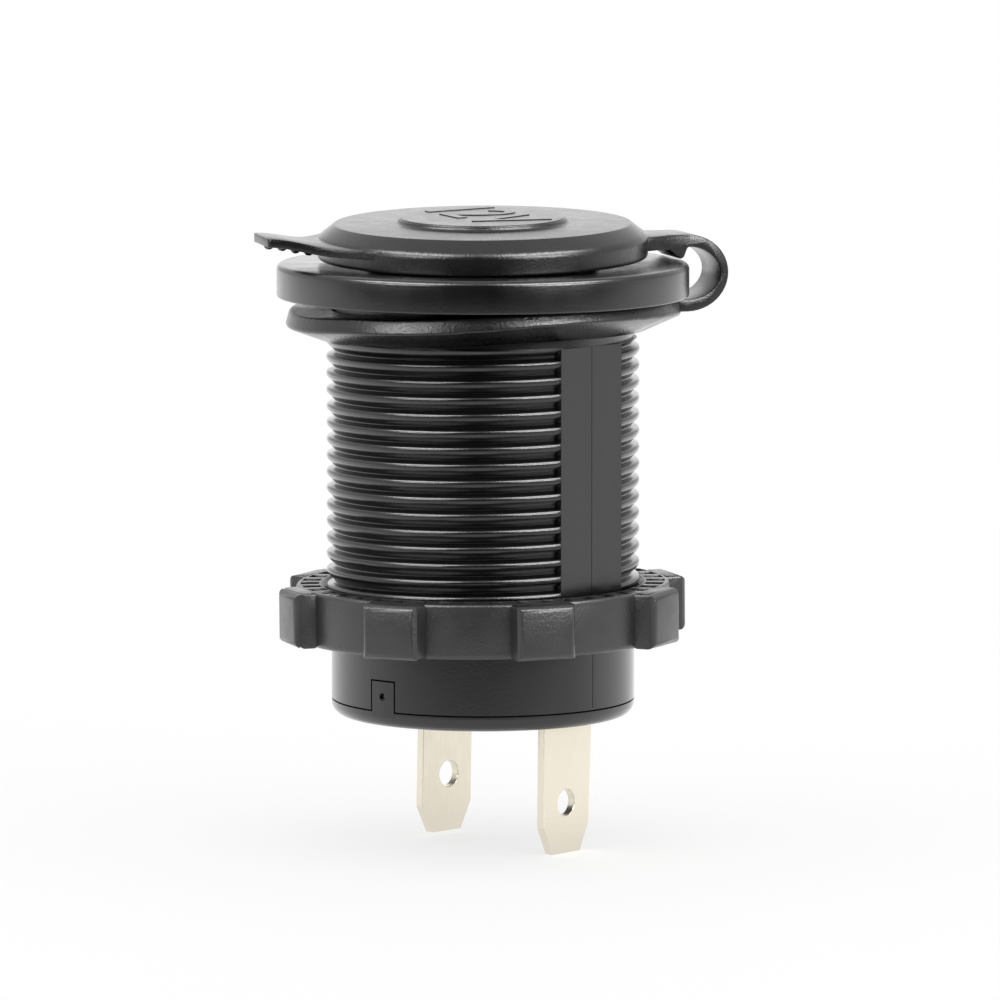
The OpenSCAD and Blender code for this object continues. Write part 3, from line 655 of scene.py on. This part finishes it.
class SOCKET_OT_strap(bpy.types.Operator):
    """Retaining ring and the strap that joins it to the cap"""
    bl_idname = "socket.strap"
    bl_label = "Strap and ring"

    def execute(self, context):
        s = context.scene.socket_sizes
        colours = context.scene.socket_colours
        rubber = bpy.data.materials["Thermoplastic_rubber"]
        radius = s.ring_radius / MM
        ring = turned("ring_moulding", in_mm(
            [(13.8, -0.1), (13.9, 0)] + arc(radius - 0.62, -0.35, 0.35, 90, 12, 6)
            + arc(radius - 0.25, -1.2, 0.25, 12, -60, 5)
            + [(14.75, -2.72), (14.5, -2.75), (13.8, -2.1), (13.8, -0.1)]))
        for bearing, rise in RING_SET:
            spot = turn(bearing) @ Vector((17.5 * MM, 0, 0))
            pull(ring, lambda v: math.hypot(v.x - spot.x, v.y - spot.y) < MM, (0, 0, rise * MM), 9 * MM)
        for reach in RING_THIN_REACH:
            pull(ring, lambda v: v.z < -0.9 * MM and math.hypot(v.x, v.y) > 17 * MM
                 and abs(math.degrees(math.atan2(v.y, v.x)) - RING_THIN_AT) < reach,
                 (0, 0, 0.08 * MM), 0.8 * MM)
        place(ring, Matrix.Translation((0, 0, -0.6 * MM)) @ tilt(26.5, 1.65))
        dress(ring, ring_rubber(colours), "ring_rubber", "ring", "retaining_ring")
        # The strap's bend is half an ellipse about this point; it leaves the ring below the flange
        # and ends on the cap, with a small lip over the flange's edge.
        fold = (18.7, 1.775)
        reach = s.strap_reach / MM
        side = ([(13.9, 5.3), (15.5, 5.3), (17, 5.3)]
                + arc(*fold, reach - fold[0], 90, -90, 24, rz=3.525)
                + [(17.7, -1.75), (17.7, -0.5)]
                + arc(*fold, reach - 0.8 - fold[0], -90, 90, 24, rz=2.4)
                + [(18.35, 3.3), (18.2, 3.12), (17.95, 3.12), (17.4, 3.5), (16.9, 3.95), (15.5, 4.0),
                   (13.9, 4.0)])
        strap = prism("strap_band", in_mm(side), s.strap_width)
        pull(strap, lambda v: v.x < 15 * MM, (0, 0, 0), 3 * MM, stretch=(1, 1.6, 1))
        soften(strap, 0.15 * MM)
        place(strap, turn(STRAP_AT))
        dress(strap, rubber, "strap_rubber", None, "strap")
        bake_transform(strap)
        return {"FINISHED"}


class SOCKET_OT_metals(bpy.types.Operator):
    """Finishes of sleeve, contact, rivets, blades and insulators"""
    bl_idname = "socket.metals"
    bl_label = "Metals and insulators"

    def execute(self, context):
        colours = context.scene.socket_colours
        tin = plated_sheet("Tin_plated_brass", colours.tin, 0.3)
        for blade in BLADES:
            self.blade(tin, **blade)
        finish(["sleeve"], plated_sheet("Nickel_plated_steel", colours.nickel, 0.26))
        finish(["centre_rivet", "earth_rivet"], plated_sheet("Nickel_plated_brass", colours.nickel, 0.24))
        finish(["centre_contact"], plated_sheet("Turned_brass", colours.brass, 0.25, grain=(1, 1, 1)))
        # Pressed fibre board: plain tan with a dry, slightly rough face.
        fibre, tree, shader, place = surface("Phenolic_fibre", colours.fibre, 0.6)
        bump(tree, shader, vary(tree, place, 0.3 * MM, 0.0, 1.0), 0.01 * MM)
        finish(["upper_washer", "lower_disc"], fibre)
        return {"FINISHED"}

    def blade(self, material, node, x, tip, hole, wide, twist, lean, shift):
        """The CAD terminal with eased edges, its hole moved up and its tip widened and leant, in mm.

        The lower part is shifted sideways and twisted, in degrees, about the upright at x."""
        piece = NODES[node].copy()
        piece.data = NODES[node].data.copy()
        bpy.context.scene.collection.objects.link(piece)
        piece.name = node + "_blade"
        activate(piece)
        bpy.ops.object.mode_set(mode="EDIT")
        close(piece)
        middle = (tip + 5) * MM
        near = 0.05 * MM
        pull(piece, lambda v: math.hypot(v.y, v.z - middle) < 1.3 * MM, (0, 0, hole * MM), near)
        for side in (1, -1):
            pull(piece, lambda v: v.z < (tip + 0.1) * MM and v.y * side > 0, (0, side * wide * MM, 0), near)
        pull(piece, lambda v: v.z < (tip + 2.6) * MM, (0, lean * MM, 0), near)
        pull(piece, lambda v: v.z < (tip + 6.6) * MM, (0, shift * MM, 0), near)
        bpy.ops.object.mode_set(mode="EDIT")
        bpy.ops.transform.rotate(value=math.radians(-twist), orient_axis="Z", center_override=(x * MM, 0, 0))
        bpy.ops.object.mode_set(mode="OBJECT")
        soften(piece, 0.07 * MM, 50, 2)
        dress(piece, material, "plated_brass", "socket", node, angle=5)


class SOCKET_OT_stage(bpy.types.Operator):
    """Floor, soft studio lamps, world and camera"""
    bl_idname = "socket.stage"
    bl_label = "Stage"

    def execute(self, context):
        scene = context.scene
        stage = scene.socket_stage
        bpy.ops.object.select_all(action="DESELECT")
        bottom = cad_box[0][2]
        bpy.ops.mesh.primitive_plane_add(size=6, location=(0, 0, bottom))
        floor = bpy.context.object
        floor.name = "floor"
        bearing = stage.azimuth
        facing = (math.sin(bearing), -math.cos(bearing), 0)
        floor.data.materials.append(self.paper(stage, facing))

        right = (math.cos(bearing), math.sin(bearing), 0)
        scene.world = self.studio(bearing - math.radians(10))

        def spot(forward, sideways, up):
            """A point given from the camera's side, in metres."""
            return tuple(f * forward + r * sideways for f, r in zip(facing[:2], right[:2])) + (up,)

        target = Vector((0, 0, -0.02))
        for name, forward, sideways, up, wide, high, radiance in LAMPS:
            data = bpy.data.lights.new(name, "AREA")
            data.shape = "RECTANGLE"
            data.size = wide
            data.size_y = high
            data.energy = radiance * math.pi * wide * high
            lamp = bpy.data.objects.new(name, data)
            scene.collection.objects.link(lamp)
            lamp.location = spot(forward, sideways, up)
            lamp.visible_diffuse = not name.endswith("strip")
            lamp.visible_glossy = name != "top_soft"
            lamp.rotation_euler = (target - lamp.location).to_track_quat("-Z", "Y").to_euler()

        aim = spot(0, stage.aim_right, stage.aim_height)
        level = stage.distance * math.cos(stage.elevation)
        camera = bpy.data.objects.new("camera", bpy.data.cameras.new("camera"))
        scene.collection.objects.link(camera)
        away = spot(level, stage.aim_right, stage.aim_height + stage.distance * math.sin(stage.elevation))
        camera.location = away
        camera.rotation_euler = (math.pi / 2 - stage.elevation, 0, bearing)
        camera.data.lens = stage.lens
        camera.data.sensor_width = 36
        camera.data.clip_start = 0.01
        camera.data.clip_end = 50
        scene.camera = camera
        scene.view_settings.view_transform = "Standard"
        return {"FINISHED"}

    def seen(self, tree, *rays):
        """One for the kinds of ray named, else zero."""
        path = add_node(tree, "ShaderNodeLightPath")
        total = path.outputs[rays[0]]
        for ray in rays[1:]:
            total = add_node(tree, "ShaderNodeMath", {"operation": "MAXIMUM"},
                             {0: total, 1: path.outputs[ray]}).outputs["Value"]
        return total

    def paper(self, stage, facing):
        """Matt white paper, which goes over into even white away from the part, and glows as a painted
        reflection for glossy rays.
        """
        material, tree, shader, place = surface("Matt_white_paper", stage.floor, 0.9)

        far = add_node(tree, "ShaderNodeVectorMath", {"operation": "LENGTH"}, {0: place}).outputs["Value"]
        front = add_node(tree, "ShaderNodeVectorMath", {"operation": "DOT_PRODUCT", 1: facing},
                         {0: place}).outputs["Value"]
        # Value, where it starts and ends, and the level at each. Seen straight on, the paper keeps the
        # part's shadow and is even white further off. In reflections it glows as a painted reflection of
        # white paper, with a painted shadow close round the part and painted shade towards the front.
        ramps = ((far, 0.03, 0.25, 0.75, 1.0), (far, 0.018, 0.03, 0.8, 1.0), (front, -0.05, 0.3, 1.6, 0.03))
        even, painted_near_shadow, painted_front_shade = [add_node(tree, "ShaderNodeMapRange", {
            "interpolation_type": "SMOOTHSTEP", "From Min": start, "From Max": end, "To Min": low,
            "To Max": high}, {"Value": value}).outputs["Result"] for value, start, end, low, high in ramps]
        glossy = self.seen(tree, "Is Glossy Ray")
        straight = self.seen(tree, "Is Camera Ray", "Is Transmission Ray")
        # Painted reflection: the glow seen by glossy rays, with its painted shadow near the part and painted
        # shade towards the front.
        clear, painted_reflection = [
            add_node(tree, "ShaderNodeMath", {"operation": "MULTIPLY"}, {0: first, 1: second}).outputs["Value"]
            for first, second in ((straight, even), (painted_near_shadow, painted_front_shade))]
        share = add_node(
            tree, "ShaderNodeMath", {"operation": "MAXIMUM"}, {0: clear, 1: glossy}).outputs["Value"]
        level = add_node(tree, "ShaderNodeMix", {"data_type": "FLOAT", 2: 1.0}, {0: glossy, 3: painted_reflection})
        glow = add_node(tree, "ShaderNodeEmission", {"Color": (1, 1, 1, 1)}, {"Strength": level.outputs[0]})
        mix = add_node(tree, "ShaderNodeMixShader", None,
                       {0: share, 1: shader.outputs["BSDF"], 2: glow.outputs["Emission"]})
        tree.links.new(mix.outputs["Shader"], tree.nodes["Material Output"].inputs["Surface"])
        return material

    def studio(self, opening):
        """White all round, softer for diffuse light, and dark towards the open front of the studio."""
        facing = (math.sin(opening), -math.cos(opening), 0)
        world = bpy.data.worlds.new("Studio")
        world.use_nodes = True
        tree = world.node_tree
        way = add_node(tree, "ShaderNodeTexCoord").outputs["Generated"]
        front = add_node(tree, "ShaderNodeVectorMath", {"operation": "DOT_PRODUCT", 1: facing}, {0: way})
        open_side = add_node(tree, "ShaderNodeMapRange", {
            "interpolation_type": "SMOOTHSTEP", "From Min": 0.62, "From Max": 0.93, "To Min": 1.0,
            "To Max": 0.03}, {"Value": front.outputs["Value"]}).outputs["Result"]
        soft = add_node(tree, "ShaderNodeMapRange", {"To Min": 1.0, "To Max": 0.85},
                        {"Value": self.seen(tree, "Is Diffuse Ray")}).outputs["Result"]
        lit = add_node(
            tree, "ShaderNodeMath", {"operation": "MULTIPLY"}, {0: open_side, 1: soft}).outputs["Value"]
        strength = add_node(tree, "ShaderNodeMath", {"operation": "MAXIMUM"}, {
            0: self.seen(tree, "Is Camera Ray", "Is Transmission Ray"), 1: lit}).outputs["Value"]
        back = tree.nodes["Background"]
        back.inputs["Color"].default_value = (1, 1, 1, 1)
        tree.links.new(strength, back.inputs["Strength"])
        return world


STEPS = (SOCKET_OT_housing, SOCKET_OT_plastics, SOCKET_OT_rubber, SOCKET_OT_strap, SOCKET_OT_metals,
         SOCKET_OT_stage)


class SOCKET_PT_panel(bpy.types.Panel):
    """Lists the socket's pieces and settings"""
    bl_idname = "SOCKET_PT_panel"
    bl_label = "12 V socket"
    bl_space_type = "VIEW_3D"
    bl_region_type = "UI"
    bl_category = "Socket"

    def draw(self, context):
        for group in (context.scene.socket_sizes, context.scene.socket_colours, context.scene.socket_stage):
            box = self.layout.box()
            for key in group.bl_rna.properties.keys():
                if key not in ("rna_type", "name"):
                    box.prop(group, key)
        for step in STEPS:
            self.layout.operator(step.bl_idname)


GROUPS = {"socket_sizes": SocketSizes, "socket_colours": SocketColours, "socket_stage": SocketStage}
CLASSES = tuple(GROUPS.values()) + STEPS + (SOCKET_PT_panel,)


def register():
    for item in CLASSES:
        bpy.utils.register_class(item)
    for key, group in GROUPS.items():
        setattr(bpy.types.Scene, key, bpy.props.PointerProperty(type=group))


def unregister():
    for key in GROUPS:
        delattr(bpy.types.Scene, key)
    for item in reversed(CLASSES):
        bpy.utils.unregister_class(item)


def main():
    register()
    bpy.ops.socket.housing()
    bpy.ops.socket.plastics()
    bpy.ops.socket.rubber()
    bpy.ops.socket.strap()
    bpy.ops.socket.metals()
    bpy.ops.socket.stage()


if __name__ == "__main__":
    main()
